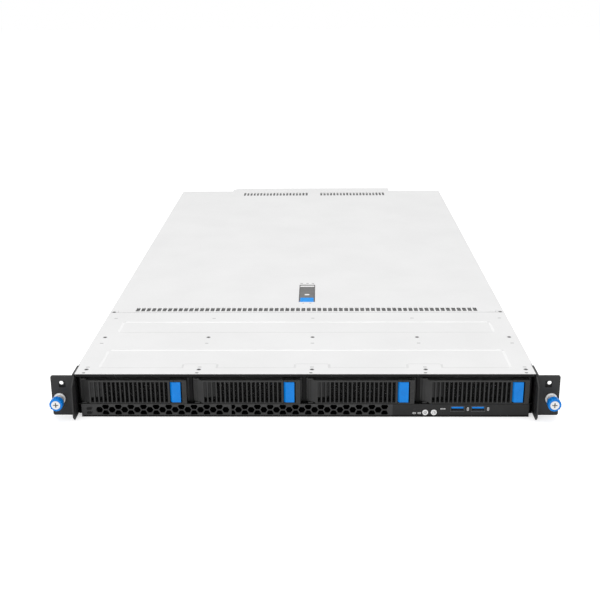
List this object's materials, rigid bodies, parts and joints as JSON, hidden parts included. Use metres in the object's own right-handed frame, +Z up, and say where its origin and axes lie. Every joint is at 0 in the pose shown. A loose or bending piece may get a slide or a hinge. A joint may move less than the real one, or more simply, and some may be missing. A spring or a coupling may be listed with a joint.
{
  "type": "1u rack server",
  "caption": "Shallow rack-mount server with drive trays and swing levers in front, slide-off rear cover, fan wall, main board and hot-swap power supplies.",
  "frame": {"origin": "on the underside, on the centreline, below the front face of the rack ears", "axes": "+X to the right seen from the front, +Y back into the rack, +Z up"},
  "size_m": [0.4826, 0.8587, 0.0436],
  "materials": {
    "galvanised_steel": "satin zinc coat",
    "cover_steel": "satin pale grey",
    "screw_steel": "nickel plated",
    "black_steel": "satin black",
    "black_plastic": "fine moulded texture",
    "tray_black": "satin black",
    "blue_plastic": "smooth moulded",
    "latch_grey": "smooth dark grey",
    "port_steel": "bright plated",
    "circuit_board": "solder mask",
    "memory_board": "solder mask",
    "cooler_aluminium": "plain fins",
    "duct_plastic": "smooth black",
    "drive_case": "cast and stamped",
    "supply_steel": "satin zinc coat",
    "supply_plastic": "fine moulded texture",
    "button_white": "translucent white"
  },
  "bodies": {
    "case": {"chassis_tray": "galvanised_steel", "chassis_walls": "galvanised_steel", "front_cover": "cover_steel", "drive_cage": "galvanised_steel", "front_vent_panel": "black_steel", "front_io_panel": "black_plastic", "rack_ear_left": "black_steel", "rack_ear_right": "black_steel", "thumbscrew_ferrules": "screw_steel", "usb_ports": "port_steel", "front_io_board": "circuit_board", "drive_backplane": "circuit_board", "fan_cage": "galvanised_steel", "fan_housings": "black_plastic", "motherboard": "circuit_board", "cpu_heatsinks": "cooler_aluminium", "memory_modules": "memory_board", "air_duct": "duct_plastic", "rear_panel": "galvanised_steel", "rear_io_ports": "port_steel", "slot_covers": "black_steel", "power_board": "circuit_board"},
    "cover": {"rear_cover": "cover_steel", "latch_housing": "cover_steel"},
    "cover_latch": {"latch_lever": "latch_grey", "latch_tip": "blue_plastic"},
    "carrier_1": {"tray_1": "tray_black", "drive_1": "drive_case"},
    "lever_1": {"tray_lever_1": "black_plastic"},
    "lock_1": {"tray_lock_1": "blue_plastic"},
    "carrier_2": {"tray_2": "tray_black", "drive_2": "drive_case"},
    "lever_2": {"tray_lever_2": "black_plastic"},
    "lock_2": {"tray_lock_2": "blue_plastic"},
    "carrier_3": {"tray_3": "tray_black", "drive_3": "drive_case"},
    "lever_3": {"tray_lever_3": "black_plastic"},
    "lock_3": {"tray_lock_3": "blue_plastic"},
    "carrier_4": {"tray_4": "tray_black", "drive_4": "drive_case"},
    "lever_4": {"tray_lever_4": "black_plastic"},
    "lock_4": {"tray_lock_4": "blue_plastic"},
    "thumbscrew_left": {"knob_left": "blue_plastic", "captive_screw_left": "screw_steel"},
    "thumbscrew_right": {"knob_right": "blue_plastic", "captive_screw_right": "screw_steel"},
    "locate_key": {"locate_button": "button_white"},
    "power_key": {"power_button": "button_white"},
    "supply_left": {"psu_left": "supply_steel", "psu_handle_left": "supply_plastic"},
    "release_left": {"psu_latch_left": "supply_plastic"},
    "supply_right": {"psu_right": "supply_steel", "psu_handle_right": "supply_plastic"},
    "release_right": {"psu_latch_right": "supply_plastic"},
    "rotor_1": {"fan_rotor_1": "black_plastic"},
    "rotor_2": {"fan_rotor_2": "black_plastic"},
    "rotor_3": {"fan_rotor_3": "black_plastic"},
    "rotor_4": {"fan_rotor_4": "black_plastic"},
    "rotor_5": {"fan_rotor_5": "black_plastic"},
    "rotor_6": {"fan_rotor_6": "black_plastic"}
  },
  "joints": [
    {"name": "cover_slide", "type": "slide", "parent": "case", "child": "cover", "axis": [0, 1, 0], "range_m": [0, 0.012]},
    {"name": "cover_latch_lift", "type": "hinge", "parent": "cover", "child": "cover_latch", "pos_m": [0, 0.276, 0.0396], "axis": [-1, 0, 0], "range_deg": [0, 85]},
    {"name": "carrier_1_slide", "type": "slide", "parent": "case", "child": "carrier_1", "axis": [0, -1, 0], "range_m": [0, 0.15]},
    {"name": "lever_1_swing", "type": "hinge", "parent": "carrier_1", "child": "lever_1", "pos_m": [-0.2095, 0.0026, 0.0255], "axis": [0, 0, -1], "range_deg": [0, 60]},
    {"name": "lock_1_slide", "type": "slide", "parent": "carrier_1", "child": "lock_1", "axis": [1, 0, 0], "range_m": [0, 0.001], "stiffness_N_per_m": 600, "springref_m": -0.001},
    {"name": "carrier_2_slide", "type": "slide", "parent": "case", "child": "carrier_2", "axis": [0, -1, 0], "range_m": [0, 0.15]},
    {"name": "lever_2_swing", "type": "hinge", "parent": "carrier_2", "child": "lever_2", "pos_m": [-0.1013, 0.0026, 0.0255], "axis": [0, 0, -1], "range_deg": [0, 60]},
    {"name": "lock_2_slide", "type": "slide", "parent": "carrier_2", "child": "lock_2", "axis": [1, 0, 0], "range_m": [0, 0.001], "stiffness_N_per_m": 600, "springref_m": -0.001},
    {"name": "carrier_3_slide", "type": "slide", "parent": "case", "child": "carrier_3", "axis": [0, -1, 0], "range_m": [0, 0.15]},
    {"name": "lever_3_swing", "type": "hinge", "parent": "carrier_3", "child": "lever_3", "pos_m": [0.0069, 0.0026, 0.0255], "axis": [0, 0, -1], "range_deg": [0, 60]},
    {"name": "lock_3_slide", "type": "slide", "parent": "carrier_3", "child": "lock_3", "axis": [1, 0, 0], "range_m": [0, 0.001], "stiffness_N_per_m": 600, "springref_m": -0.001},
    {"name": "carrier_4_slide", "type": "slide", "parent": "case", "child": "carrier_4", "axis": [0, -1, 0], "range_m": [0, 0.15]},
    {"name": "lever_4_swing", "type": "hinge", "parent": "carrier_4", "child": "lever_4", "pos_m": [0.1151, 0.0026, 0.0255], "axis": [0, 0, -1], "range_deg": [0, 60]},
    {"name": "lock_4_slide", "type": "slide", "parent": "carrier_4", "child": "lock_4", "axis": [1, 0, 0], "range_m": [0, 0.001], "stiffness_N_per_m": 600, "springref_m": -0.001},
    {"name": "thumbscrew_left_turn", "type": "hinge", "parent": "case", "child": "thumbscrew_left", "pos_m": [-0.2338, 0, 0.0184], "axis": [0, 1, 0], "continuous": true},
    {"name": "thumbscrew_right_turn", "type": "hinge", "parent": "case", "child": "thumbscrew_right", "pos_m": [0.2338, 0, 0.0184], "axis": [0, 1, 0], "continuous": true},
    {"name": "locate_press", "type": "slide", "parent": "case", "child": "locate_key", "axis": [0, 1, 0], "range_m": [0, 0.0008], "stiffness_N_per_m": 800, "springref_m": -0.001},
    {"name": "power_press", "type": "slide", "parent": "case", "child": "power_key", "axis": [0, 1, 0], "range_m": [0, 0.0008], "stiffness_N_per_m": 800, "springref_m": -0.001},
    {"name": "supply_left_slide", "type": "slide", "parent": "case", "child": "supply_left", "axis": [0, 1, 0], "range_m": [0, 0.18]},
    {"name": "release_left_press", "type": "slide", "parent": "supply_left", "child": "release_left", "axis": [1, 0, 0], "range_m": [0, 0.002], "stiffness_N_per_m": 800, "springref_m": -0.001},
    {"name": "supply_right_slide", "type": "slide", "parent": "case", "child": "supply_right", "axis": [0, 1, 0], "range_m": [0, 0.18]},
    {"name": "release_right_press", "type": "slide", "parent": "supply_right", "child": "release_right", "axis": [1, 0, 0], "range_m": [0, 0.002], "stiffness_N_per_m": 800, "springref_m": -0.001},
    {"name": "rotor_1_spin", "type": "hinge", "parent": "case", "child": "rotor_1", "pos_m": [-0.165, 0.21, 0.0222], "axis": [0, 1, 0], "continuous": true},
    {"name": "rotor_2_spin", "type": "hinge", "parent": "case", "child": "rotor_2", "pos_m": [-0.105, 0.21, 0.0222], "axis": [0, 1, 0], "continuous": true},
    {"name": "rotor_3_spin", "type": "hinge", "parent": "case", "child": "rotor_3", "pos_m": [-0.045, 0.21, 0.0222], "axis": [0, 1, 0], "continuous": true},
    {"name": "rotor_4_spin", "type": "hinge", "parent": "case", "child": "rotor_4", "pos_m": [0.045, 0.21, 0.0222], "axis": [0, 1, 0], "continuous": true},
    {"name": "rotor_5_spin", "type": "hinge", "parent": "case", "child": "rotor_5", "pos_m": [0.105, 0.21, 0.0222], "axis": [0, 1, 0], "continuous": true},
    {"name": "rotor_6_spin", "type": "hinge", "parent": "case", "child": "rotor_6", "pos_m": [0.165, 0.21, 0.0222], "axis": [0, 1, 0], "continuous": true}
  ],
  "couplings": [
    {"joint": "cover_latch_lift", "follows": "cover_slide", "rad_per_m": 123}
  ]
}
